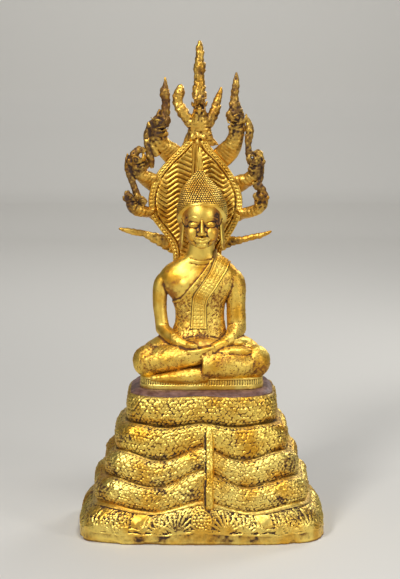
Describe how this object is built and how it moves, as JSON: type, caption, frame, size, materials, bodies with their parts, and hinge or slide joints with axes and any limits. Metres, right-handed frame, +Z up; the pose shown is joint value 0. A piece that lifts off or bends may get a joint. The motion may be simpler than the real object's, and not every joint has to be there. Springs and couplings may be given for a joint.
{
  "type": "naga buddha statue",
  "caption": "Gilt figure in meditation on the stacked coils of a naga, its hood and many heads spread behind, on a carved plinth.",
  "frame": {"origin": "middle of the underside of the plinth, on the surface that it stands on", "axes": "+Z up, -Y the way the figure faces, +X to the right of a viewer in front of it"},
  "size_m": [0.2962, 0.1941, 0.5856],
  "materials": {
    "gilt_coils": "cast bronze lacquered and leafed with gold, worn to dark lacquer in the carving",
    "gilt_figure": "cast bronze lacquered and leafed with gold, softly rubbed, with a few dark spots",
    "gilt_hood": "cast bronze lacquered and leafed with gold, browned in the recesses and on the heads"
  },
  "bodies": {
    "root": {"naga_coil_base": "gilt_coils", "seated_buddha": "gilt_figure", "naga_hood": "gilt_hood"}
  },
  "joints": []
}
